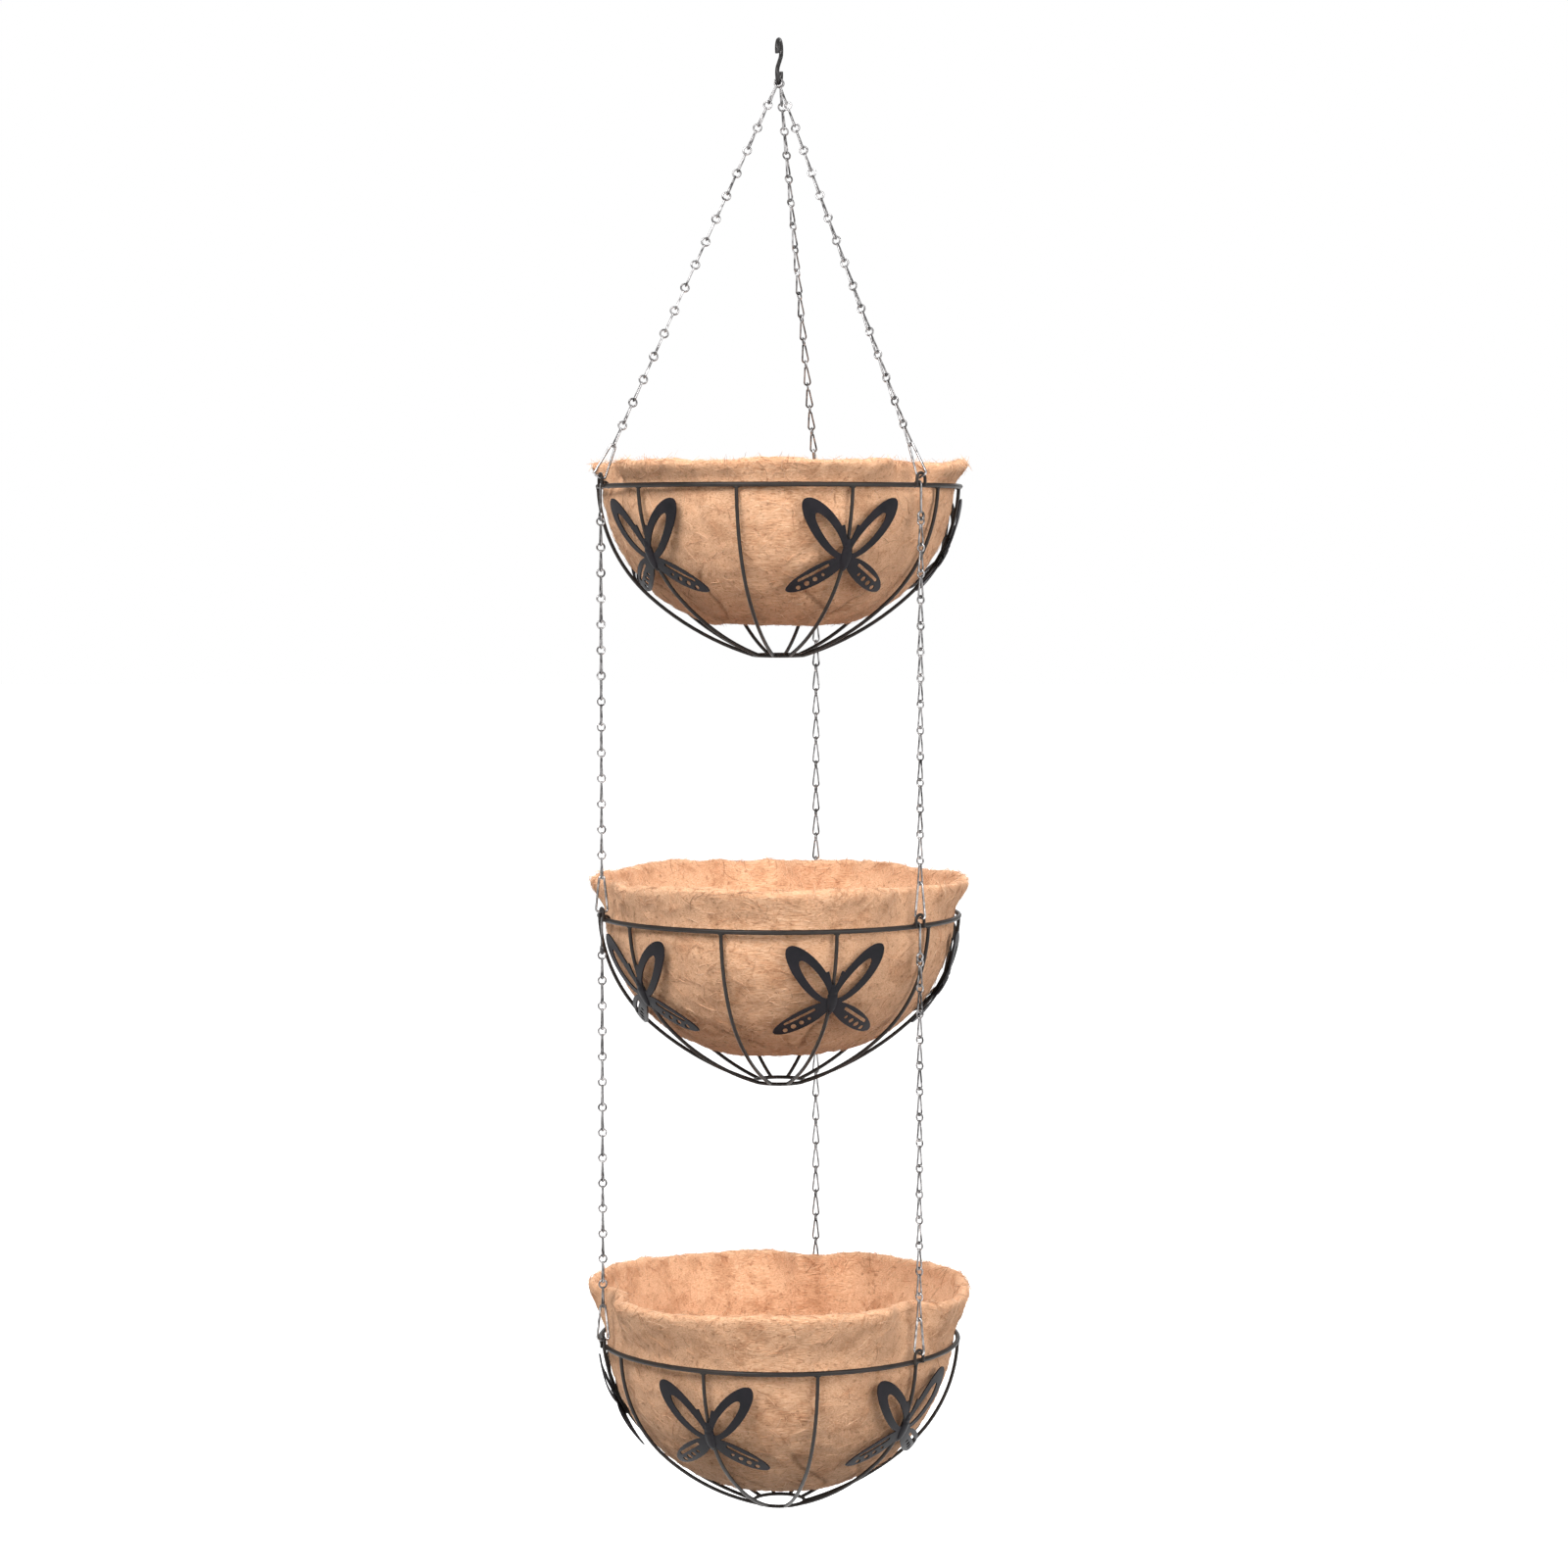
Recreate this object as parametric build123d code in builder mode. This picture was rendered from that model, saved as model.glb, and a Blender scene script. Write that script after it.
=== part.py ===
"""Three-tier hanging basket: wire bowls with coir liners, hung on jack chain from an S-hook.

Millimetres, +Z up.  The origin is the inner crown of the S-hook's upper bow, where the
whole hanger is hooked on; everything else hangs below it.  Azimuths are in degrees from +X.
"""
from build123d import *
from math import acos, asin, atan2, cos, degrees, hypot, radians, sin
import os

# ---------------------------------------------------------------- driving dimensions
rim_radius = 150.0                # centreline of the rim wire
rim_wire = 2.0                    # wire radii
rib_wire = 1.5
foot_wire = 1.5
eye_wire = 1.3
hook_wire = 1.75
clip_wire = 1.0
drop_wire = 1.05
link_wire = 0.75
tier_z = {"upper": -365.0, "middle": -721.0, "lower": -1077.0}      # rim heights
rib_phase = {"upper": 257.0, "middle": 252.0, "lower": 246.0}       # azimuth of one plain rib
liner_top = {"upper": 20.0, "middle": 33.0, "lower": 46.0}          # mat edge above the rim
liner_base = {"upper": -113.0, "middle": -111.0, "lower": -118.0}   # mat base below the rim
rib_count = 10
frame_depth = 139.7               # rim centreline to foot ring centreline
foot_radius = 21.1
stations = {"back": 78.0, "left": 198.0, "right": 318.0}            # chain azimuths
running_gap = 0.2                 # between linked wires
swing_gap = 0.45                  # between a clip's bar and the eye it swings in

# rib meridian: two tangent arcs from the rim to the foot ring
rib_start = (rim_radius, 0.0)
rib_middle = (138.7, -48.3)
rib_joint = (107.5, -90.8)
rib_end = (foot_radius, -frame_depth)
rib_arc_centre = (22.4, 4.4)
rib_arc_radius = 127.7

# hanging eyes on the rim
eye_half_width = 5.0
eye_crown = 9.7                   # crown centreline above the rim centreline
chain_radius = rim_radius + rim_wire + eye_wire

# S-hook
upper_bow = 8.25                  # bow centreline radii
lower_bow = 7.5
bow_spacing = 19.75
hook_azimuth = stations["back"]
bow_offsets = {"left": -24.0, "right": -2.0, "back": 24.0}          # where each chain sits

# chain link: round eye over a pear-shaped loop turned a quarter
link_eye = 3.2
link_bow = 2.6
link_neck = 1.0
cone_links = 16
drop_links = 14

# end clip and drop hook
clip_height = 29.0                # bar centreline to crown centreline
clip_corner = 2.2
clip_half_base = 2.8
drop_length = 22.0                # straight shank below the rim
drop_eye = 3.2

# butterfly plate
plate_gap = 0.1
plate_thickness = 1.2
plate_height = -59.0              # body centre below the rim

# coir liner
mat_thickness = 8.0
liner_waist = 121.0               # outside radius half way down
liner_waist_height = -68.0
liner_base_radius = 58.0
notch_floor = 8.0                 # cut-outs where the sloping chains lean over the upper mat
notch_width = 18.0
notch_depth = 30.0

os.makedirs("parts", exist_ok=True)


def save(part, name):
    """Label a finished part and write it as one STEP file."""
    part.label = name
    export_step(part, f"parts/{name}.step")


def radial(azimuth):
    """Unit vector pointing outwards at an azimuth."""
    return Vector(cos(radians(azimuth)), sin(radians(azimuth)), 0)


def belt(circles):
    """Closed path round circles (x, y, r), given anticlockwise, like a belt round pulleys."""
    count = len(circles)
    leave = []
    for i, (x, y, r) in enumerate(circles):
        nx, ny, nr = circles[(i + 1) % count]
        span = hypot(nx - x, ny - y)
        leave.append(degrees(atan2(ny - y, nx - x) - acos((r - nr) / span)))
    for i, (x, y, r) in enumerate(circles):
        nx, ny, nr = circles[(i + 1) % count]
        arrive = leave[i - 1]
        turn = (leave[i] - arrive) % 360
        CenterArc((x, y), r, arrive, turn)
        out = (cos(radians(leave[i])), sin(radians(leave[i])))
        Line((x + r * out[0], y + r * out[1]), (nx + nr * out[0], ny + nr * out[1]))


def tube(path, radius):
    """Round wire of the given radius swept along a path, added to the part being built."""
    with BuildSketch(Plane(origin=path @ 0, z_dir=path % 0)) as section:
        Circle(radius)
    sweep(sections=section.sketch, path=path)


# ---------------------------------------------------------------- S-hook
hook_plane = Plane(origin=(0, 0, 0), x_dir=radial(hook_azimuth), z_dir=radial(hook_azimuth - 90))
upper_centre = -(upper_bow - hook_wire)
lower_centre = upper_centre - bow_spacing
shank_angle = -90 + degrees(acos((upper_bow + lower_bow) / bow_spacing))
shank_normal = (cos(radians(shank_angle)), sin(radians(shank_angle)))

with BuildPart() as s_hook:
    with BuildLine(hook_plane) as hook_path:
        CenterArc((0, upper_centre), upper_bow, shank_angle, 205 - shank_angle)
        Line(
            (upper_bow * shank_normal[0], upper_centre + upper_bow * shank_normal[1]),
            (-lower_bow * shank_normal[0], lower_centre - lower_bow * shank_normal[1]),
        )
        CenterArc((0, lower_centre), lower_bow, shank_angle + 180, 200 - shank_angle)
    tube(hook_path.wire(), hook_wire)
save(s_hook.part, "s_hook")


# ---------------------------------------------------------------- chains
def link_shape(pitch):
    """One jack-chain link: eye crown at the origin, hanging down -Z, eye in the XZ plane."""
    length = pitch + 2 * link_wire + running_gap
    with BuildPart() as link:
        with Locations((0, 0, -link_eye)):
            Torus(link_eye, link_wire, rotation=(90, 0, 0))
        with BuildLine(Plane.YZ) as loop:
            belt([
                (0, link_bow - length, link_bow),
                (0, 0.5 - 2 * link_eye - link_neck, link_neck),
            ])
        tube(loop.wire(), link_wire)
    return link.part


def hang(shape, crown, down, facing):
    """Place a shape whose crown is at its origin: down is its -Z, facing its X direction."""
    normal = down.cross(facing).normalized()
    x_dir = normal.cross(down).normalized()
    return Plane(origin=crown, x_dir=x_dir, z_dir=down * -1).location * shape


def chain_run(name, first_crown, last_crown, count, face_start, face_end):
    """Links between two crown points; the facing azimuth turns evenly along the run."""
    run = last_crown - first_crown
    down = run.normalized()
    pitch = (run.length + clip_wire - link_wire) / count
    link = link_shape(pitch)
    links = []
    for i in range(count):
        azimuth = face_start + (face_end - face_start) * i / (count - 1)
        links.append(hang(link, first_crown + down * (pitch * i), down, radial(azimuth)))
    save(Compound(children=links), name)


def clip_shape():
    """Triangular wire clip in the XZ plane, crown centreline at the origin, bar below."""
    with BuildPart() as clip:
        with BuildLine(Plane.XZ) as loop:
            belt([
                (-clip_half_base, clip_corner - clip_height, clip_corner),
                (clip_half_base, clip_corner - clip_height, clip_corner),
                (0, -clip_corner, clip_corner),
            ])
        tube(loop.wire(), clip_wire)
    return clip.part


clip = clip_shape()


def eye_crown_point(tier, azimuth):
    """Centreline crown of a hanging eye on a rim."""
    return radial(azimuth) * chain_radius + Vector(0, 0, tier_z[tier] + eye_crown)


def clip_crown_point(tier, azimuth, up):
    """Crown of the clip whose bar hangs in the eye, pulled along up."""
    bar = eye_crown_point(tier, azimuth) - up * (eye_wire + clip_wire + swing_gap)
    return bar + up * clip_height


# three chains from the hook's lower bow to the upper rim
for side, azimuth in stations.items():
    tilt = radians(bow_offsets[side])
    bow_point = (
        radial(hook_azimuth) * (lower_bow * sin(tilt))
        + Vector(0, 0, lower_centre - lower_bow * cos(tilt))
    )
    up = (bow_point - eye_crown_point("upper", azimuth)).normalized()
    first = bow_point + up * (hook_wire + link_wire + running_gap)
    last = clip_crown_point("upper", azimuth, up)
    turn = {"left": azimuth, "right": azimuth - 180, "back": azimuth}[side]
    start = {"left": hook_azimuth + 90, "right": hook_azimuth + 90, "back": hook_azimuth + 90}[side]
    chain_run(f"cone_chain_{side}", first, last, cone_links, start, turn)
    save(hang(clip, last, up * -1, radial(azimuth)), f"cone_clip_{side}")


# ---------------------------------------------------------------- drop hooks
def drop_hook_shape():
    """J-hook over the rim wire (rim centre at the origin, outside is +X) ending in an eye."""
    reach = chain_radius - rim_radius
    with BuildPart() as drop:
        with BuildLine(Plane.XZ) as path:
            Line((reach, -drop_length), (reach, 0))
            CenterArc((0, 0), reach, 0, 215)
        tube(path.wire(), drop_wire)
        with Locations((reach, 0, -drop_length - drop_eye + drop_wire / 2)):
            Torus(drop_eye, drop_wire, rotation=(0, 90, 0))
    return drop.part


drop_hook = drop_hook_shape()
drop_bow = -drop_length - 2 * drop_eye + drop_wire / 2      # lowest centreline of its eye


def drop_chains(prefix, above, below):
    """Three vertical chains from one rim down to the next."""
    for side, azimuth in stations.items():
        rim_point = radial(azimuth) * rim_radius + Vector(0, 0, tier_z[above])
        place = Plane(origin=rim_point, x_dir=radial(azimuth), z_dir=(0, 0, 1)).location
        save(place * drop_hook, f"{prefix}_hook_{side}")
        first = (
            radial(azimuth) * chain_radius
            + Vector(0, 0, tier_z[above] + drop_bow + drop_wire + link_wire + running_gap)
        )
        last = clip_crown_point(below, azimuth, Vector(0, 0, 1))
        chain_run(f"{prefix}_chain_{side}", first, last, drop_links, azimuth, azimuth)
        save(hang(clip, last, Vector(0, 0, -1), radial(azimuth)), f"{prefix}_clip_{side}")


drop_chains("middle", "upper", "middle")
drop_chains("lower", "middle", "lower")


# ---------------------------------------------------------------- wire bowls
def rim_shape():
    """Rim wire centred on the origin."""
    with BuildPart() as rim:
        Torus(rim_radius, rim_wire)
    return rim.part


def foot_shape():
    """Small ring that closes the foot of the bowl."""
    with BuildPart() as foot:
        with Locations((0, 0, -frame_depth)):
            Torus(foot_radius, foot_wire)
    return foot.part


rim = rim_shape()
foot = foot_shape()


def rib_shape():
    """One rib at azimuth 0, trimmed to the rim and the foot ring."""
    with BuildPart() as rib:
        with BuildLine(Plane.XZ) as path:
            ThreePointArc(rib_start, rib_middle, rib_joint)
            TangentArc(rib_joint, rib_end, tangent=path.line % 1)
        tube(path.wire(), rib_wire)
        add(rim, mode=Mode.SUBTRACT)
        add(foot, mode=Mode.SUBTRACT)
    return rib.part.solids().sort_by(SortBy.VOLUME)[-1]


def eye_shape():
    """Hanging eye at azimuth 0: an arch welded to the outside of the rim."""
    crown_height = eye_crown - eye_half_width
    with BuildPart() as eye:
        with BuildLine(Plane.YZ.offset(chain_radius)) as path:
            Line((eye_half_width, -rim_wire / 2), (eye_half_width, crown_height))
            CenterArc((0, crown_height), eye_half_width, 0, 180)
            Line((-eye_half_width, crown_height), (-eye_half_width, -rim_wire / 2))
        tube(path.wire(), eye_wire)
        add(rim, mode=Mode.SUBTRACT)
    return eye.part.solids().sort_by(SortBy.VOLUME)[-1]


# ---------------------------------------------------------------- butterfly plate
upper_wing = {"angle": 50.0, "length": 61.0, "width": 22.0, "hole": 41.0, "hole_width": 10.0}
lower_wing = {"angle": -32.0, "length": 47.0, "width": 15.5}
wing_root = 1.0                   # wings start this far from the body's centre


def butterfly_shape():
    """Butterfly at azimuth 0, pressed to the curve of the ribs."""
    inner = rib_arc_radius + rib_wire + plate_gap
    with BuildPart() as plate:
        with BuildSketch(Plane.XZ):
            with BuildLine():
                outer_arc = CenterArc(rib_arc_centre, inner + plate_thickness, 5, -70)
                inner_arc = CenterArc(rib_arc_centre, inner, 5, -70)
                Line(outer_arc @ 0, inner_arc @ 0)
                Line(outer_arc @ 1, inner_arc @ 1)
            make_face()
        revolve(axis=Axis.Z)
        butterfly_outline()
    return plate.part


def butterfly_outline():
    """Outline seen along the radius, cut out of the shell being built."""
    face_plane = Plane(origin=(0, 0, plate_height), x_dir=(0, 1, 0), z_dir=(1, 0, 0))
    with BuildSketch(face_plane) as outline:
        for side in (1, -1):
            for wing in (upper_wing, lower_wing):
                lean = radians(wing["angle"])
                middle = wing_root + wing["length"] / 2
                with Locations((side * middle * cos(lean), middle * sin(lean))):
                    Ellipse(wing["length"] / 2, wing["width"] / 2, rotation=side * wing["angle"])
            lean = radians(upper_wing["angle"])
            middle = wing_root + 5 + upper_wing["hole"] / 2
            with Locations((side * middle * cos(lean), middle * sin(lean))):
                Ellipse(
                    upper_wing["hole"] / 2,
                    upper_wing["hole_width"] / 2,
                    rotation=side * upper_wing["angle"],
                    mode=Mode.SUBTRACT,
                )
            lower_holes(side)
            with BuildLine():
                Polyline((side * 0.8, 12), (side * 5.6, 27), (side * 7.6, 26.4), (side * 3.4, 11), close=True)
            make_face()
        with Locations((0, 3)):
            Ellipse(4.2, 13)
    extrude(outline.sketch, amount=rim_radius + 20, mode=Mode.INTERSECT)


def lower_holes(side):
    """Pierced pattern of a lower wing: a long upper slot and a row of cells below the vein."""
    lean = radians(lower_wing["angle"])
    along = Vector(cos(lean), sin(lean), 0)
    across = Vector(-sin(lean), cos(lean), 0)

    def spot(run, rise):
        point = along * run + across * rise
        return (side * point.X, point.Y)

    with Locations(spot(26, 2.9)):
        SlotOverall(26, 2.6, rotation=side * (lower_wing["angle"] + 1), mode=Mode.SUBTRACT)
    for run, size in ((20, 2.4), (26.5, 3.4), (33, 3.8), (39.5, 3.2)):
        with Locations(spot(run, -2.6)):
            Ellipse(size / 2 + 0.6, size / 2, rotation=side * (lower_wing["angle"] + 55), mode=Mode.SUBTRACT)


# ---------------------------------------------------------------- coir liner
def liner_shape(tier):
    """Pressed coir mat: an open bowl a little inside the ribs, its edge above the rim."""
    top = liner_top[tier]
    base = liner_base[tier]
    wall = rim_radius - rim_wire - 2.9
    inside = wall - mat_thickness
    floor = base + mat_thickness
    with BuildPart() as mat:
        with BuildSketch(Plane.XZ):
            with BuildLine():
                Line((wall, top), (wall, 0))
                ThreePointArc((wall, 0), (liner_waist, liner_waist_height), (liner_base_radius, base))
                Line((liner_base_radius, base), (0, base))
                Line((0, base), (0, floor))
                Line((0, floor), (liner_base_radius, floor))
                ThreePointArc(
                    (liner_base_radius, floor),
                    (liner_waist - mat_thickness, liner_waist_height + 3),
                    (inside, 0),
                )
                Line((inside, 0), (inside, top))
                Line((inside, top), (wall, top))
            make_face()
        revolve(axis=Axis.Z)
        if tier == "upper":
            for azimuth in stations.values():
                notch = Plane(origin=radial(azimuth) * wall, x_dir=radial(azimuth), z_dir=(0, 0, 1))
                with BuildSketch(notch.offset(notch_floor)) as opening:
                    Rectangle(notch_depth, notch_width)
                extrude(opening.sketch, amount=top, mode=Mode.SUBTRACT)
    return mat.part


# ---------------------------------------------------------------- the three baskets
rib = rib_shape()
eye = eye_shape()
butterfly = butterfly_shape()

for tier, height in tier_z.items():
    level = Location((0, 0, height))
    phase = rib_phase[tier]
    step = 360 / rib_count
    save(level * rim, f"{tier}_rim")
    save(level * foot, f"{tier}_foot_ring")
    ribs = [level * Rotation(0, 0, phase + step * i) * rib for i in range(rib_count)]
    save(Compound(children=ribs), f"{tier}_ribs")
    eyes = [level * Rotation(0, 0, azimuth) * eye for azimuth in stations.values()]
    save(Compound(children=eyes), f"{tier}_eyes")
    first_plate = phase - step if tier != "lower" else phase
    plates = [
        level * Rotation(0, 0, first_plate + 2 * step * i) * butterfly
        for i in range(rib_count // 2)
    ]
    save(Compound(children=plates), f"{tier}_butterflies")
    save(level * liner_shape(tier), f"{tier}_liner")
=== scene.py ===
"""Looks of the three-tier hanging basket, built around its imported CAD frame.

Metres, +Z up, in the CAD frame: the origin is the inner crown of the S-hook's upper bow and
the bowls hang below it on the Z axis.  Azimuths are in degrees from +X.
"""
import math

import bpy
import numpy as np
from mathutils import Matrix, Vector, noise


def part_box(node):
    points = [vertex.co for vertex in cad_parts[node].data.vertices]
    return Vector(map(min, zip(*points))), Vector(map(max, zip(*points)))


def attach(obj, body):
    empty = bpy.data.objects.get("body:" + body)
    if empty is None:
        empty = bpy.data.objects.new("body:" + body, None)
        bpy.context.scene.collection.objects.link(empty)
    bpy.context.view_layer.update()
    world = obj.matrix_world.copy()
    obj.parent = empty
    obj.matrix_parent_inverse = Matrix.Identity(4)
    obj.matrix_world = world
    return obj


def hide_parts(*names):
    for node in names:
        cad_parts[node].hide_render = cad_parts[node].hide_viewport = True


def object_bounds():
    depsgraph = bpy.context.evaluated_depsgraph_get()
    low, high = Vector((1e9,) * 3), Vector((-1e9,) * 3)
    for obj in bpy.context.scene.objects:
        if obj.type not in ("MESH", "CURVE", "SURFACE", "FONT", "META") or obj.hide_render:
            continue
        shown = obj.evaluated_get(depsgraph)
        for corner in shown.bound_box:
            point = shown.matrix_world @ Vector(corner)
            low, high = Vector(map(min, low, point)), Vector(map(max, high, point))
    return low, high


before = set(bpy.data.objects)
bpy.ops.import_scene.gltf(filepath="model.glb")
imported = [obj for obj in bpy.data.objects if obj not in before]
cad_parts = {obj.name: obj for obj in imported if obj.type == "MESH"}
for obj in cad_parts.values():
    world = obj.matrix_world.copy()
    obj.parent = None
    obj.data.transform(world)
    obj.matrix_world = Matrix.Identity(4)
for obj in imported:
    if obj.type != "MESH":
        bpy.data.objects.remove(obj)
cad_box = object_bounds()

MM = 0.001

# ---------------------------------------------------------------- places read from the frame
TIERS = ("upper", "middle", "lower")
SIDES = ("back", "left", "right")


def azimuth_of(node):
    """Azimuth of a node's middle, in degrees."""
    low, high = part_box(node)
    middle = (low + high) / 2
    return math.degrees(math.atan2(middle.y, middle.x)) % 360


def rim_of(tier):
    """(centreline radius, wire radius, height) of a tier's rim."""
    low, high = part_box(f"{tier}_rim")
    wire = (high.z - low.z) / 2
    return (high.x - low.x) / 2 - wire, wire, (high.z + low.z) / 2


STATIONS = [azimuth_of(f"middle_clip_{side}") for side in SIDES]
RIM_RADIUS, RIM_WIRE, _ = rim_of("upper")
RIM_Z = {tier: rim_of(tier)[2] for tier in TIERS}
RIB_WIRE = 1.5 * MM
RIB_COUNT = 10
RIB_PHASE = {"upper": 257.0, "middle": 252.0, "lower": 246.0}   # azimuth of one plain rib
PLATE_PHASE = {"upper": 221.0, "middle": 216.0, "lower": 246.0}  # azimuth of one butterfly
ARC_CENTRE = (22.4 * MM, 4.4 * MM)          # rib meridian, from the axis and the rim's plane
PLATE_FACE = 130.5 * MM                     # radius of the butterflies' outer face about it
PLATE_BEND = math.radians(-27.35)           # below this angle the face runs straight
PLATE_HEIGHT = -59.0 * MM                   # butterflies' middle below the rim

# ---------------------------------------------------------------- coir liners
MAT = 8.0 * MM                              # thickness
WAIST = (121.0 * MM, -68.0 * MM)            # outside of the wall half way down
BASE_RADIUS = 58.0 * MM
GRID = 3.0 * MM                             # spacing of the rows down the wall
COLUMNS = 400
FLARE = {"upper": 12.0 * MM, "middle": 11.0 * MM, "lower": 15.0 * MM}   # lip beyond the wall
DENT = {"upper": 8.5 * MM, "middle": 3.0 * MM, "lower": 3.0 * MM}       # push of the chains
SEED = {"upper": 11, "middle": 23, "lower": 37}
STRANDS = 5200
STRAND_POINTS = 5


def circle_through(a, b, c):
    """Centre and radius of the circle through three points in a plane."""
    matrix = 2 * np.array([[b[0] - a[0], b[1] - a[1]], [c[0] - a[0], c[1] - a[1]]])
    squares = [p[0] ** 2 + p[1] ** 2 for p in (a, b, c)]
    centre = np.linalg.solve(matrix, [squares[1] - squares[0], squares[2] - squares[0]])
    return centre, math.dist(centre, a)


def arc(a, b, c, count=60):
    """Points from a to c along the circle through b."""
    centre, radius = circle_through(a, b, c)
    start, end = (math.atan2(p[1] - centre[1], p[0] - centre[0]) for p in (a, c))
    angles = np.linspace(start, end, count)
    return [(centre[0] + radius * math.cos(t), centre[1] + radius * math.sin(t)) for t in angles]


def smooth(x):
    """Smooth step of an array, 0 below 0 and 1 above 1."""
    x = np.clip(x, 0, 1)
    return x * x * (3 - 2 * x)


def liner_profile(tier):
    """Evenly spaced (radius, height) rows: out along the base, up the wall, over the lip, down inside."""
    low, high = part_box(f"{tier}_liner")
    wall = high.x
    base = low.z - RIM_Z[tier]
    top = high.z - RIM_Z[tier]
    inside = wall - MAT
    floor = base + MAT
    half = MAT / 2
    lip = [(wall - half + half * math.cos(t), top - half + half * math.sin(t))
           for t in np.linspace(0, math.pi, 12)]
    corner = (BASE_RADIUS, base)
    inner_corner = (BASE_RADIUS, floor)
    inner_waist = (WAIST[0] - MAT, WAIST[1] + 3 * MM)
    line = [(0.0, base)]
    line += arc(corner, WAIST, (wall, 0.0))
    line += lip
    line += arc((inside, 0.0), inner_waist, inner_corner)
    line += [(0.0, floor)]
    line = np.array(line)
    steps = np.hypot(*np.diff(line, axis=0).T)
    run = np.concatenate([[0], np.cumsum(steps)])
    places = np.linspace(0, run[-1], int(run[-1] / GRID) + 1)
    rows = np.stack([np.interp(places, run, line[:, 0]), np.interp(places, run, line[:, 1])], 1)
    return rows, places, wall, top


def near_station(theta):
    """1 at the chains' azimuths and 0 away from them, smooth between."""
    near = np.zeros_like(theta)
    for station in STATIONS:
        apart = np.abs((np.degrees(theta) - station + 180) % 360 - 180)
        near = np.maximum(near, 1 - smooth((apart - 4) / 11))
    return near


def ring_noise(theta, lobes, seed):
    """Smooth noise round the rim, about -1 to 1."""
    return np.array([
        noise.noise(Vector((lobes * math.cos(t), lobes * math.sin(t), seed * 3.7))) for t in theta
    ]) * 1.8


def lumps(points, size, seed):
    """Smooth noise at points, about -1 to 1, with lumps of a size in metres."""
    shift = Vector((seed * 1.3, seed * 0.7, seed * 2.1))
    return np.array([noise.noise(Vector(p) / size + shift) for p in points]) * 1.8


def creases(theta, places, seed, count=9):
    """Depth, 0 to 1, of the folds that the flat mat took when it was pressed into a bowl; it dents the mat
    and also darkens its colour as painted shade.
    """
    rng = np.random.default_rng(seed)
    depth = np.zeros((len(places), len(theta)))
    run = places[:, None]
    around = theta[None, :]
    for i in range(count):
        middle = 2 * math.pi * (i + rng.uniform(-0.3, 0.3)) / count
        slant = rng.uniform(-9, 9)
        start, end = rng.uniform(0.055, 0.08), rng.uniform(0.10, 0.135)
        line = middle + slant * (run - 0.1) + 0.05 * np.sin(run * 90 + i)
        apart = np.abs((around - line + math.pi) % (2 * math.pi) - math.pi) * 0.11
        along = smooth((run - start) / 0.012) * (1 - smooth((run - end) / 0.012))
        depth = np.maximum(depth, np.exp(-((apart / 0.0024) ** 2)) * along)
    return depth


def liner_surface(tier):
    """Grid of points (rows x columns x 3), crease depth and row lengths of a tier's liner."""
    rows, places, wall, top = liner_profile(tier)
    seed = SEED[tier]
    theta = np.linspace(0, 2 * math.pi, COLUMNS, endpoint=False)
    near = near_station(theta)[None, :]
    radius = np.repeat(rows[:, :1], COLUMNS, 1)
    height = np.repeat(rows[:, 1:], COLUMNS, 1)
    above = smooth(height / top)
    edge = ring_noise(theta, 1.6, seed) * 2.6 * MM + ring_noise(theta, 6.0, seed + 1) * 0.9 * MM
    flare = FLARE[tier] + ring_noise(theta, 1.3, seed + 2) * 2.0 * MM
    height += above * edge[None, :]
    radius += above * flare[None, :] * (1 - near)
    radius -= smooth((height + 14 * MM) / (20 * MM)) * DENT[tier] * near
    sway = ring_noise(theta, 2.2, seed + 3) * 1.0 * MM
    radius += smooth((height + 90 * MM) / (60 * MM)) * (1 - above) * sway[None, :] * (1 - near)
    grid = np.stack([radius * np.cos(theta), radius * np.sin(theta), height + RIM_Z[tier]], 2)
    # The folds' depth dents the mat and also drives painted shade in the coir colour.
    fold_depth_and_painted_shade = creases(theta, places, seed)
    normal = grid_normals(grid)
    flat = grid.reshape(-1, 3)
    push = (
        lumps(flat, 42 * MM, seed) * 0.9
        + lumps(flat, 13 * MM, seed + 4) * 0.55
        + lumps(flat, 5 * MM, seed + 5) * 0.35
    ).reshape(fold_depth_and_painted_shade.shape) * MM
    push *= smooth(rows[:, 0] / (20 * MM))[:, None]
    push -= fold_depth_and_painted_shade * 1.5 * MM
    grid += normal * push[..., None]
    return grid, fold_depth_and_painted_shade, places


def grid_normals(grid):
    """Outward unit normals of a grid of rows and closed columns."""
    down = np.gradient(grid, axis=0)
    across = np.roll(grid, -1, 1) - np.roll(grid, 1, 1)
    normal = np.cross(across, down)
    length = np.linalg.norm(normal, axis=2, keepdims=True)
    normal = normal / np.maximum(length, 1e-12)
    weak = length[..., 0] < 1e-12
    normal[weak] = (0, 0, -1)
    return normal


def new_object(name, verts, faces, material, shade=True):
    """Mesh object in the row frame with one material."""
    mesh = bpy.data.meshes.new(name)
    mesh.from_pydata(np.asarray(verts).tolist(), [], faces)
    mesh.update()
    mesh.materials.append(material)
    if shade:
        mesh.shade_smooth()
    made = bpy.data.objects.new(name, mesh)
    bpy.context.scene.collection.objects.link(made)
    return made


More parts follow.
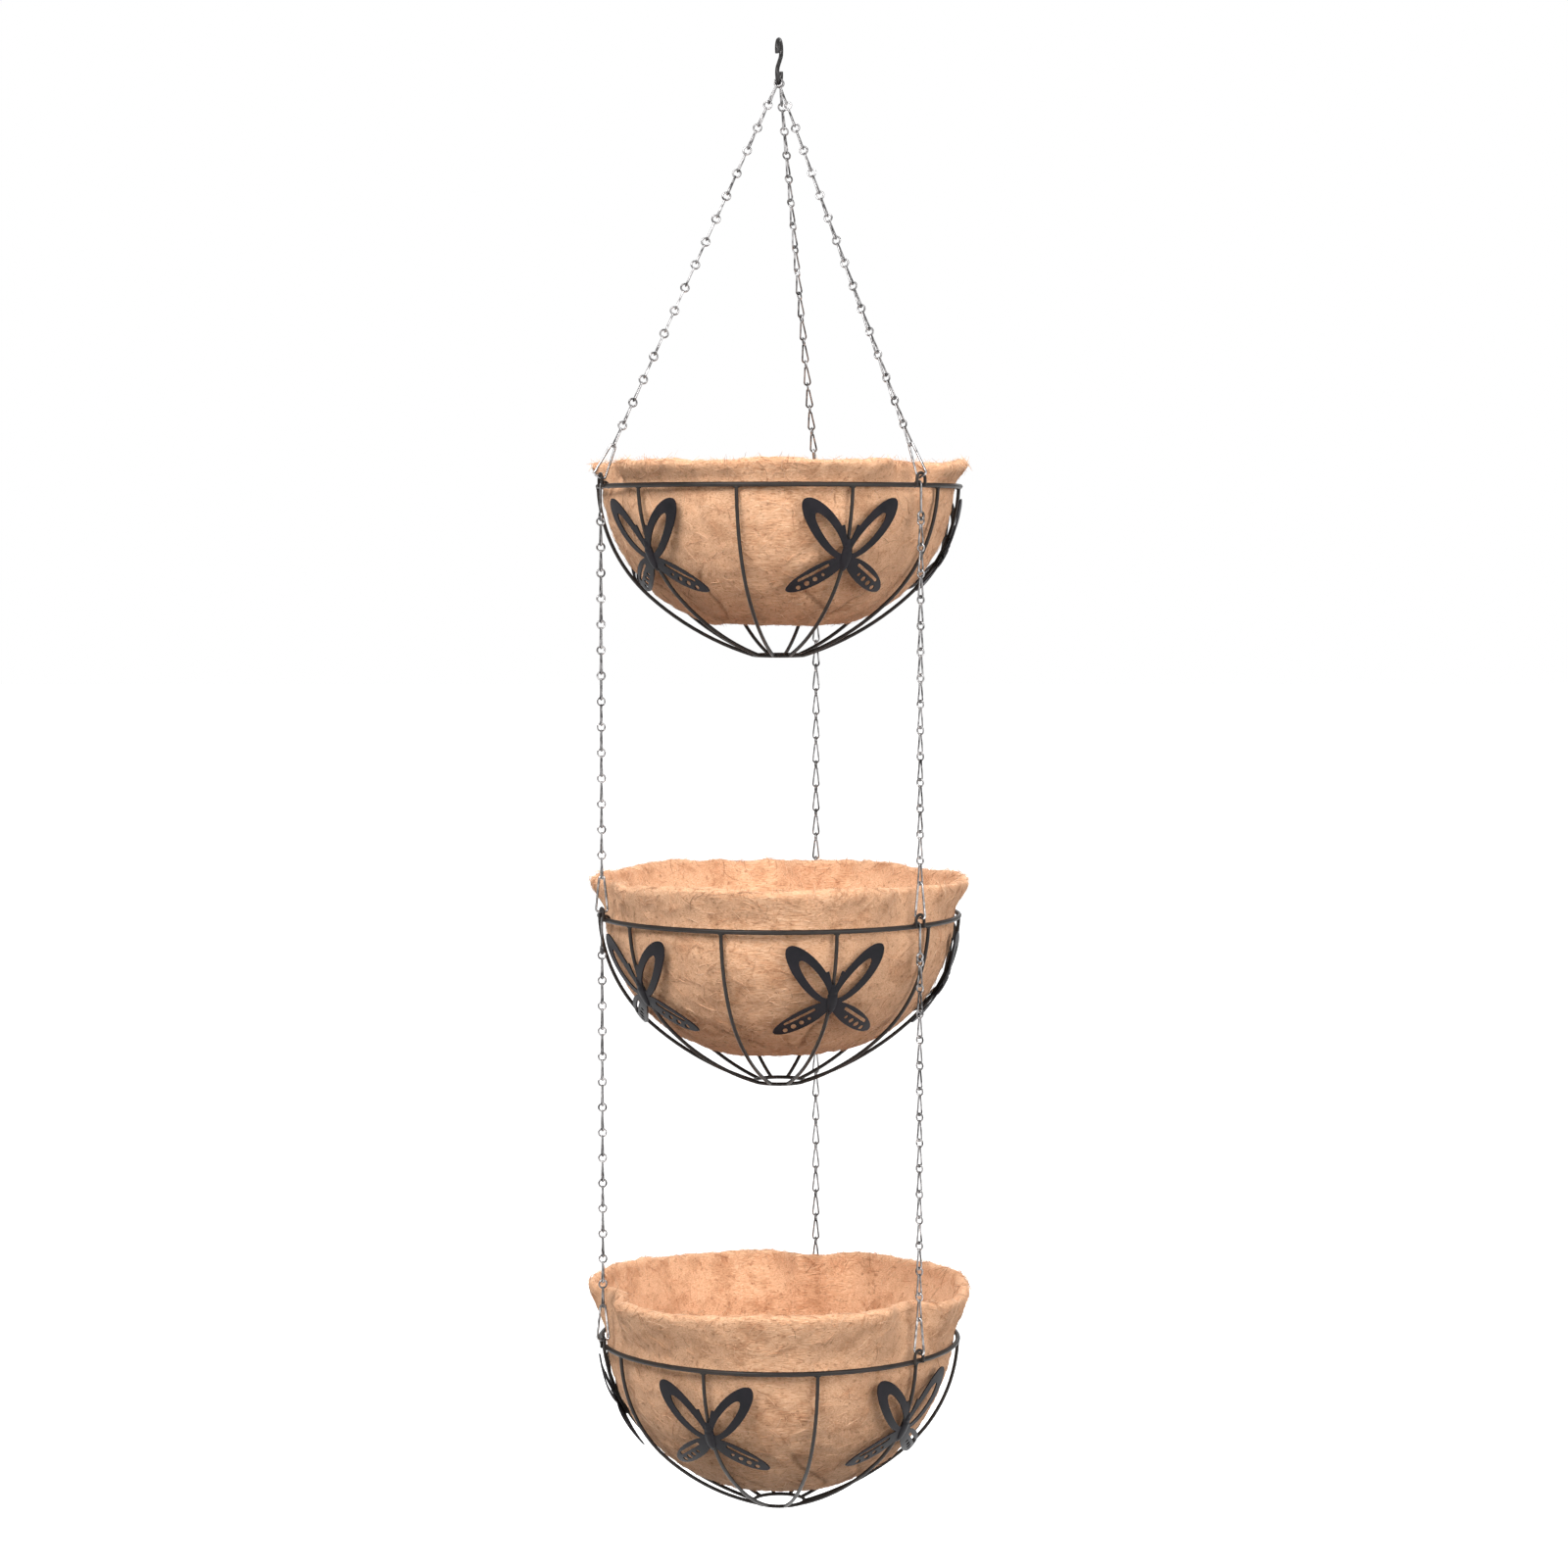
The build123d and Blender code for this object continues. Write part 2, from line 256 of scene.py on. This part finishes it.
def liner_mesh(tier, grid, fold_depth_and_painted_shade, places, material):
    """Closed mat from the grid: its first and last rows are the two poles."""
    body = grid[1:-1]
    count, columns = body.shape[:2]
    verts = np.concatenate([body.reshape(-1, 3), grid[0].mean(0)[None], grid[-1].mean(0)[None]])
    outer_pole, inner_pole = len(verts) - 2, len(verts) - 1
    faces = []
    for i in range(count - 1):
        for j in range(columns):
            k = (j + 1) % columns
            faces.append((i * columns + j, i * columns + k, (i + 1) * columns + k, (i + 1) * columns + j))
    last = (count - 1) * columns
    for j in range(columns):
        k = (j + 1) % columns
        faces.append((outer_pole, k, j))
        faces.append((inner_pole, last + j, last + k))
    mat = new_object(f"{tier}_coir_mat", verts, faces, material)
    # The folds' depth is kept on the mat for the painted shade in its colour.
    shade = mat.data.attributes.new("fold_depth_and_painted_shade", "FLOAT", "POINT")
    depth = np.concatenate([fold_depth_and_painted_shade[1:-1].ravel(), [0, 0]]).astype(np.float32)
    shade.data.foreach_set("value", depth)
    return mat


def strand_mesh(tier, grid, material):
    """Loose coir fibres lying on the mat, some with an end standing off it."""
    rng = np.random.default_rng(SEED[tier] + 100)
    normal = grid_normals(grid)
    rows = len(grid)
    ring = np.hypot(grid[:, 0, 0], grid[:, 0, 1])
    lift_row = np.argmax(grid[:, 0, 2])
    weight = ring + 0.35 * np.exp(-(((np.arange(rows) - lift_row) / 3.0) ** 2))
    weight[:2] = weight[-2:] = 0
    row = rng.choice(rows, STRANDS, p=weight / weight.sum())
    column = rng.integers(0, COLUMNS, STRANDS)
    root = grid[row, column]
    up = normal[row, column]
    around = np.cross(up, (0, 0, 1))
    around[np.linalg.norm(around, axis=1) < 0.1] = (1, 0, 0)
    around /= np.linalg.norm(around, axis=1, keepdims=True)
    beside = np.cross(up, around)
    lean = rng.uniform(0, math.pi, STRANDS)[:, None]
    along = around * np.cos(lean) + beside * np.sin(lean)
    side = np.cross(up, along)
    length = rng.uniform(6, 20, STRANDS) * MM
    bend = rng.normal(0, 0.22, STRANDS) * length
    near_lip = np.exp(-(((row - lift_row) / 4.0) ** 2))
    stray = rng.random(STRANDS) < 0.12 + 0.25 * near_lip
    hair = np.where(stray, rng.uniform(0.4, 1.5, STRANDS), 0.0) * MM
    theta = np.arctan2(root[:, 1], root[:, 0])
    low = root[:, 2] > RIM_Z[tier] - 20 * MM
    hair *= 1 - near_station(theta) * low
    inside = row > lift_row
    curve = np.where(inside, -1.0, 1.0) / (2 * 0.125)
    thick = rng.uniform(0.13, 0.24, STRANDS) * MM
    lift = rng.uniform(-0.05, 0.35, STRANDS) * MM
    s = np.linspace(-0.5, 0.5, STRAND_POINTS)[None, :, None]
    run = s * length[:, None, None]
    path = root[:, None] + along[:, None] * run
    path += side[:, None] * bend[:, None, None] * (2 * s) ** 2 * 0.5
    rise = lift[:, None, None] + hair[:, None, None] * (s + 0.5) ** 2 - curve[:, None, None] * run ** 2
    path += up[:, None] * rise
    return tube_mesh(f"{tier}_coir_fibres", path, up, side, thick, material)


def tube_mesh(name, path, up, side, thick, material):
    """Thin three-sided tubes, tapered at both ends, along an array of paths."""
    count, points = path.shape[:2]
    taper = (1 - 0.65 * np.abs(np.linspace(-1, 1, points)) ** 3)[None, :, None, None]
    turn = np.radians([90, 210, 330])[None, None, :, None]
    ring = side[:, None, None] * np.cos(turn) + up[:, None, None] * np.sin(turn)
    verts = path[:, :, None] + ring * thick[:, None, None, None] * taper
    faces = []
    for i in range(count):
        first = i * points * 3
        for p in range(points - 1):
            for c in range(3):
                a = first + p * 3 + c
                b = first + p * 3 + (c + 1) % 3
                faces.append((a, b, b + 3, a + 3))
        end = first + (points - 1) * 3
        faces.append((first + 2, first + 1, first))
        faces.append((end, end + 1, end + 2))
    return new_object(name, verts.reshape(-1, 3), faces, material)


# ---------------------------------------------------------------- wire frame details
def blob(centre, axes, seed, rings=7, around=12):
    """Verts and faces of a slightly uneven ellipsoid; axes are its three half-axis vectors."""
    verts = [centre - axes[2]]
    for i in range(1, rings):
        tilt = math.pi * i / rings
        for j in range(around):
            turn = 2 * math.pi * j / around
            spot = Vector((math.sin(tilt) * math.cos(turn), math.sin(tilt) * math.sin(turn), -math.cos(tilt)))
            swell = 1 + 0.12 * noise.noise(spot * 1.7 + Vector((seed, seed * 0.37, 0)))
            verts.append(centre + (axes[0] * spot.x + axes[1] * spot.y + axes[2] * spot.z) * swell)
    verts.append(centre + axes[2])
    faces = []
    for j in range(around):
        k = (j + 1) % around
        faces.append((0, 1 + k, 1 + j))
        for i in range(rings - 2):
            a, b = 1 + i * around, 1 + (i + 1) * around
            faces.append((a + j, a + k, b + k, b + j))
        top = 1 + (rings - 2) * around
        faces.append((len(verts) - 1, top + j, top + k))
    return verts, faces


def radial(azimuth):
    """Unit vector pointing outwards at an azimuth in degrees."""
    turn = math.radians(azimuth)
    return Vector((math.cos(turn), math.sin(turn), 0))


def joined(name, parts, material):
    """One object from several (verts, faces) lists."""
    verts, faces = [], []
    for part_verts, part_faces in parts:
        first = len(verts)
        verts += part_verts
        faces += [tuple(first + i for i in face) for face in part_faces]
    return new_object(name, [tuple(v) for v in verts], faces, material)


def weld_beads(tier, material):
    """Small weld beads where ribs meet the rim and the foot ring, and where the eyes stand."""
    low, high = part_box(f"{tier}_foot_ring")
    foot_wire = (high.z - low.z) / 2
    foot_z = (low.z + high.z) / 2
    foot_radius = (high.x - low.x) / 2 - foot_wire
    parts = []
    up = Vector((0, 0, 1))
    for i in range(RIB_COUNT):
        azimuth = RIB_PHASE[tier] + 360 / RIB_COUNT * i
        out = radial(azimuth)
        across = up.cross(out)
        rim_spot = out * (RIM_RADIUS - 0.2 * MM) + up * (RIM_Z[tier] - RIM_WIRE * 0.95)
        parts.append(blob(rim_spot, (out * 1.9 * MM, across * 2.9 * MM, up * 1.3 * MM), i))
        foot_spot = out * (foot_radius + foot_wire * 0.9) + up * (foot_z + 0.1 * MM)
        parts.append(blob(foot_spot, (out * 1.2 * MM, across * 2.4 * MM, up * 1.3 * MM), i + 20))
    for azimuth in STATIONS:
        out = radial(azimuth)
        across = up.cross(out)
        for side in (-1, 1):
            spot = out * (RIM_RADIUS + 2.1 * MM) + across * (side * 5 * MM) + up * RIM_Z[tier]
            parts.append(blob(spot, (out * 1.5 * MM, across * 2.1 * MM, up * 1.2 * MM), side + 40))
    return joined(f"{tier}_weld_beads", parts, material)


def butterfly_body(tier, azimuth):
    """Raised, ringed body of one butterfly, following the plate's curve."""
    out = radial(azimuth)
    across = Vector((0, 0, 1)).cross(out)
    centre = out * ARC_CENTRE[0] + Vector((0, 0, RIM_Z[tier] + ARC_CENTRE[1]))
    middle = math.asin((PLATE_HEIGHT + 3 * MM - ARC_CENTRE[1]) / PLATE_FACE)
    half = 13.4 * MM / PLATE_FACE
    rings, around = 27, 14
    verts, faces = [], []
    for i in range(rings + 1):
        t = -1 + 2 * i / rings
        swell = math.sqrt(max(1 - t * t, 0.02))
        waist = 1 - 0.28 * math.exp(-(((t - 0.42) / 0.09) ** 2)) - 0.2 * math.exp(-(((t - 0.72) / 0.07) ** 2))
        groove = 1 - 0.07 * (0.5 + 0.5 * math.cos(t * 36)) * (t < 0.3)
        size = swell * waist * groove
        angle = middle + t * half
        bend = max(angle, PLATE_BEND)
        face = out * math.cos(bend) + Vector((0, 0, math.sin(bend)))
        along = Vector((0, 0, math.cos(bend))) - out * math.sin(bend)
        spot = centre + face * (PLATE_FACE - 0.4 * MM) + along * ((angle - bend) * PLATE_FACE)
        for j in range(around):
            turn = 2 * math.pi * j / around
            rise = 2.4 * MM * size * max(math.sin(turn), -0.12)
            verts.append(spot + across * (4.7 * MM * size * math.cos(turn)) + face * rise)
    for i in range(rings):
        for j in range(around):
            k = (j + 1) % around
            a, b = i * around, (i + 1) * around
            faces.append((a + k, a + j, b + j, b + k))
    faces.append(tuple(range(around)))
    faces.append(tuple(rings * around + j for j in reversed(range(around))))
    return verts, faces


def butterfly_bodies(tier, material):
    """The five bodies of a tier's butterflies."""
    parts = [butterfly_body(tier, PLATE_PHASE[tier] + 72 * i) for i in range(RIB_COUNT // 2)]
    return joined(f"{tier}_butterfly_bodies", parts, material)


# ---------------------------------------------------------------- materials
def new_material(name):
    """Node material with a Principled shader; returns it with its tree's helpers."""
    material = bpy.data.materials.new(name)
    material.use_nodes = True
    tree = material.node_tree
    shader = tree.nodes["Principled BSDF"]
    return material, tree, shader


def add_node(tree, kind, **settings):
    """Adds a node; settings name its properties, or its inputs where it has no such property."""
    made = tree.nodes.new(kind)
    for key, value in settings.items():
        if hasattr(made, key):
            setattr(made, key, value)
        else:
            made.inputs[key.replace("_", " ")].default_value = value
    return made


def noise_node(tree, vector, scale, detail=3.0, roughness=0.55, distortion=0.0):
    """Noise texture on a vector output."""
    made = add_node(tree, "ShaderNodeTexNoise", Scale=scale, Detail=detail, Roughness=roughness)
    made.inputs["Distortion"].default_value = distortion
    tree.links.new(vector, made.inputs["Vector"])
    return made.outputs["Fac"]


def ramp(tree, factor, stops):
    """Colour ramp with (position, colour) stops."""
    made = tree.nodes.new("ShaderNodeValToRGB")
    elements = made.color_ramp.elements
    while len(elements) < len(stops):
        elements.new(0.5)
    for element, (position, colour) in zip(elements, stops):
        element.position = position
        element.color = (*colour, 1)
    tree.links.new(factor, made.inputs["Fac"])
    return made.outputs["Color"]


def mix(tree, kind, factor, a, b):
    """Colour mix; factor, a and b are sockets or plain values."""
    made = add_node(tree, "ShaderNodeMix", data_type="RGBA", blend_type=kind)
    for name, value in (("Factor", factor), ("A", a), ("B", b)):
        socket = next(s for s in made.inputs if s.name == name and s.enabled)
        if isinstance(value, bpy.types.NodeSocket):
            tree.links.new(value, socket)
        else:
            socket.default_value = value
    return next(s for s in made.outputs if s.name == "Result" and s.enabled)


def remap(tree, value, low, high, to_low, to_high):
    """Linear change of range, clamped."""
    made = tree.nodes.new("ShaderNodeMapRange")
    for name, number in (("From Min", low), ("From Max", high), ("To Min", to_low), ("To Max", to_high)):
        made.inputs[name].default_value = number
    tree.links.new(value, made.inputs["Value"])
    return made.outputs["Result"]


def bump(tree, shader, height, strength, distance):
    """Bump from a height output into a shader's normal."""
    made = add_node(tree, "ShaderNodeBump", Strength=strength, Distance=distance)
    tree.links.new(height, made.inputs["Height"])
    tree.links.new(made.outputs["Normal"], shader.inputs["Normal"])


def object_vector(tree):
    """Object coordinates, which are metres in the row frame."""
    return tree.nodes.new("ShaderNodeTexCoord").outputs["Object"]


def stretched(tree, vector, turn, scale):
    """Vector turned and scaled, to draw noise out into fibres."""
    made = tree.nodes.new("ShaderNodeMapping")
    made.inputs["Rotation"].default_value = [math.radians(a) for a in turn]
    made.inputs["Scale"].default_value = scale
    tree.links.new(vector, made.inputs["Vector"])
    return made.outputs["Vector"]


COIR_DARK = (0.500, 0.230, 0.112)
COIR_MID = (0.740, 0.395, 0.222)
COIR_LIGHT = (0.900, 0.575, 0.360)


def coir_material():
    """Felted coir: crossing fibres, blotches of lighter and browner husk, painted shade darkening the folds.
    """
    material, tree, shader = new_material("coir_felt")
    vector = object_vector(tree)
    strands = None
    for turn in ((0, 35, 20), (40, -25, 100), (-30, 60, 160), (70, 10, 55)):
        lines = noise_node(tree, stretched(tree, vector, turn, (120, 1500, 1500)), 1.0, 2.0, 0.6, 0.4)
        lines = remap(tree, lines, 0.42, 0.72, 0.0, 1.0)
        if strands is None:
            strands = lines
        else:
            both = add_node(tree, "ShaderNodeMath", operation="MAXIMUM")
            tree.links.new(strands, both.inputs[0])
            tree.links.new(lines, both.inputs[1])
            strands = both.outputs[0]
    felt = ramp(tree, strands, [(0.05, COIR_DARK), (0.38, COIR_MID), (0.85, COIR_LIGHT)])
    blotch = noise_node(tree, vector, 48.0, 4.0, 0.6)
    patches = ramp(tree, blotch, [(0.34, (0.74, 0.66, 0.60)), (0.50, (1, 1, 1)), (0.70, (1.0, 1.0, 1.0))])
    colour = mix(tree, "MULTIPLY", 0.85, felt, patches)
    flecks = noise_node(tree, vector, 260.0, 2.0, 0.5)
    dots = ramp(tree, flecks, [(0.28, (0.50, 0.36, 0.28)), (0.40, (1, 1, 1))])
    colour = mix(tree, "MULTIPLY", 0.6, colour, dots)
    # Painted shade: the colour darkens towards dark brown with the depth of the folds.
    fold_depth_and_painted_shade = add_node(tree, "ShaderNodeAttribute", attribute_name="fold_depth_and_painted_shade").outputs["Fac"]
    colour = mix(tree, "MIX", remap(tree, fold_depth_and_painted_shade, 0.1, 1.0, 0.0, 0.6), colour, (0.27, 0.12, 0.055, 1))
    tree.links.new(colour, shader.inputs["Base Color"])
    tree.links.new(remap(tree, strands, 0.0, 1.0, 0.95, 0.78), shader.inputs["Roughness"])
    shader.inputs["Specular IOR Level"].default_value = 0.12
    shader.inputs["Sheen Weight"].default_value = 0.05
    shader.inputs["Sheen Roughness"].default_value = 0.6
    bump(tree, shader, strands, 0.7, 0.9 * MM)
    return material


def fibre_material():
    """Single coir fibres, each its own shade from brown to straw."""
    material, tree, shader = new_material("coir_fibre")
    island = tree.nodes.new("ShaderNodeNewGeometry").outputs["Random Per Island"]
    tone = ramp(tree, island, [
        (0.0, (0.30, 0.14, 0.065)), (0.25, COIR_MID), (0.7, COIR_LIGHT), (1.0, (0.86, 0.60, 0.41)),
    ])
    shading = noise_node(tree, object_vector(tree), 420.0)
    tone = mix(tree, "MULTIPLY", 0.5, tone, ramp(tree, shading, [(0.3, (0.72, 0.66, 0.6)), (0.6, (1, 1, 1))]))
    tree.links.new(tone, shader.inputs["Base Color"])
    shader.inputs["Roughness"].default_value = 0.68
    shader.inputs["Specular IOR Level"].default_value = 0.35
    return material


def paint_material(name, dark, light, gloss, specular):
    """Powder coat: fine orange peel, a little dust in the tone."""
    material, tree, shader = new_material(name)
    vector = object_vector(tree)
    cloud = noise_node(tree, vector, 70.0, 3.0)
    tree.links.new(ramp(tree, cloud, [(0.35, dark), (0.68, light)]), shader.inputs["Base Color"])
    grain = noise_node(tree, vector, 900.0, 2.0)
    tree.links.new(remap(tree, cloud, 0.3, 0.7, gloss - 0.06, gloss + 0.08), shader.inputs["Roughness"])
    shader.inputs["Specular IOR Level"].default_value = specular
    bump(tree, shader, grain, 0.25, 0.15 * MM)
    return material


def zinc_material(name, dark, light, gloss):
    """Plated steel wire with a fine grain and dull patches."""
    material, tree, shader = new_material(name)
    vector = object_vector(tree)
    cloud = noise_node(tree, vector, 160.0, 4.0)
    tree.links.new(ramp(tree, cloud, [(0.35, dark), (0.65, light)]), shader.inputs["Base Color"])
    tree.links.new(remap(tree, cloud, 0.3, 0.7, gloss + 0.14, gloss), shader.inputs["Roughness"])
    shader.inputs["Metallic"].default_value = 1.0
    grain = noise_node(tree, vector, 1400.0, 2.0)
    bump(tree, shader, grain, 0.2, 0.08 * MM)
    return material


def stage_material():
    """Plain pale floor."""
    material, tree, shader = new_material("studio_floor")
    cloud = noise_node(tree, object_vector(tree), 3.0)
    tree.links.new(ramp(tree, cloud, [(0.3, (0.93, 0.93, 0.93)), (0.7, (0.95, 0.95, 0.95))]),
                   shader.inputs["Base Color"])
    shader.inputs["Roughness"].default_value = 0.9
    shader.inputs["Specular IOR Level"].default_value = 0.1
    shader.inputs["Emission Color"].default_value = (1, 1, 1, 1)
    shader.inputs["Emission Strength"].default_value = 0.6
    return material


# ---------------------------------------------------------------- camera, light and stage
CAMERA_DISTANCE = 3.204
CAMERA_BELOW_HOOK = 0.408
AIM_BELOW_HOOK = 0.612
CAMERA_SIDE = 0.004
LENS_MM, SENSOR_MM = 88.5, 36.0
FLOOR_GAP = 0.45                            # floor below the object's lowest point


def set_camera():
    """Camera a little above the hanger's middle, level with the upper basket's rim."""
    data = bpy.data.cameras.new("camera")
    data.lens, data.sensor_width = LENS_MM, SENSOR_MM
    data.clip_end = 100
    camera = bpy.data.objects.new("camera", data)
    bpy.context.scene.collection.objects.link(camera)
    camera.location = (CAMERA_SIDE, -CAMERA_DISTANCE, -CAMERA_BELOW_HOOK)
    aim = Vector((CAMERA_SIDE, 0, -AIM_BELOW_HOOK)) - camera.location
    camera.rotation_euler = aim.to_track_quat("-Z", "Y").to_euler()
    bpy.context.scene.camera = camera


def area_light(name, place, aim, size, power):
    """Square soft light at place, facing aim."""
    data = bpy.data.lights.new(name, "AREA")
    data.size, data.energy = size, power
    lamp = bpy.data.objects.new(name, data)
    bpy.context.scene.collection.objects.link(lamp)
    lamp.location = place
    lamp.rotation_euler = (Vector(aim) - Vector(place)).to_track_quat("-Z", "Y").to_euler()
    lamp.visible_camera = False


def set_world(overhead, underneath):
    """White surroundings that light the object more from above than from below."""
    world = bpy.data.worlds.new("studio")
    bpy.context.scene.world = world
    world.use_nodes = True
    tree = world.node_tree
    seen = tree.nodes["Background"]
    seen.inputs["Color"].default_value = (1, 1, 1, 1)
    lighting = tree.nodes.new("ShaderNodeBackground")
    direction = tree.nodes.new("ShaderNodeTexCoord").outputs["Generated"]
    parts = tree.nodes.new("ShaderNodeSeparateXYZ")
    tree.links.new(direction, parts.inputs[0])
    strength = remap(tree, parts.outputs["Z"], -0.5, 0.7, underneath, overhead)
    tree.links.new(strength, lighting.inputs["Strength"])
    which = tree.nodes.new("ShaderNodeMixShader")
    tree.links.new(tree.nodes.new("ShaderNodeLightPath").outputs["Is Camera Ray"], which.inputs[0])
    tree.links.new(lighting.outputs[0], which.inputs[1])
    tree.links.new(seen.outputs[0], which.inputs[2])
    tree.links.new(which.outputs[0], tree.nodes["World Output"].inputs["Surface"])


def set_stage():
    """Camera, lights and floor."""
    set_camera()
    low, high = cad_box
    middle = (low + high) / 2
    floor_z = low.z - FLOOR_GAP
    half = 30.0
    corners = [(x * half, y * half, floor_z) for x, y in ((-1, -1), (1, -1), (1, 1), (-1, 1))]
    floor = new_object("floor", corners, [(0, 1, 2, 3)], stage_material(), shade=False)
    floor.visible_diffuse = False
    set_world(overhead=0.95, underneath=0.30)
    area_light("key", (-1.3, -2.2, 1.5), middle, 1.6, 122)
    area_light("fill", (1.8, -1.9, 0.3), middle, 1.8, 54)
    area_light("top", (0.2, 0.6, 2.2), middle, 2.0, 12)
    area_light("rear", (0.3, 2.4, 0.6), middle, 2.0, 22)
    scene = bpy.context.scene
    scene.view_settings.view_transform = "Standard"


# ---------------------------------------------------------------- the object
def finish_wires():
    """Gives each CAD node its finish; the coir liners are replaced by meshes instead."""
    coat = paint_material("black_powder_coat", (0.010, 0.008, 0.007), (0.024, 0.018, 0.015), 0.44, 0.22)
    plate = paint_material("satin_black_plate", (0.006, 0.006, 0.008), (0.014, 0.012, 0.015), 0.46, 0.12)
    dark = zinc_material("blackened_hook", (0.030, 0.029, 0.029), (0.052, 0.050, 0.050), 0.36)
    chain = zinc_material("aged_zinc_chain", (0.045, 0.043, 0.043), (0.36, 0.35, 0.35), 0.24)
    clip = zinc_material("bright_zinc_wire", (0.14, 0.135, 0.135), (0.52, 0.51, 0.51), 0.2)
    kinds = (("s_hook", dark), ("butterflies", plate), ("chain", chain), ("clip", clip), ("hook", chain))
    for name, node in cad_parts.items():
        finish = next((material for word, material in kinds if word in name), coat)
        for material_slot in node.material_slots:
            material_slot.material = finish
    return coat, plate


def dress_tier(tier, felt, fibre, coat, plate):
    """Liner, fibres, welds and butterfly bodies of one bowl."""
    body = f"{tier}_tier"
    grid, fold_depth_and_painted_shade, places = liner_surface(tier)
    mat = liner_mesh(tier, grid, fold_depth_and_painted_shade, places, felt)
    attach(mat, body)
    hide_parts(f"{tier}_liner")
    fibres = strand_mesh(tier, grid, fibre)
    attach(fibres, body)
    beads = weld_beads(tier, coat)
    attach(beads, body)
    bodies = butterfly_bodies(tier, plate)
    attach(bodies, body)


set_stage()
coat, plate = finish_wires()
felt, fibre = coir_material(), fibre_material()
for tier in TIERS:
    dress_tier(tier, felt, fibre, coat, plate)
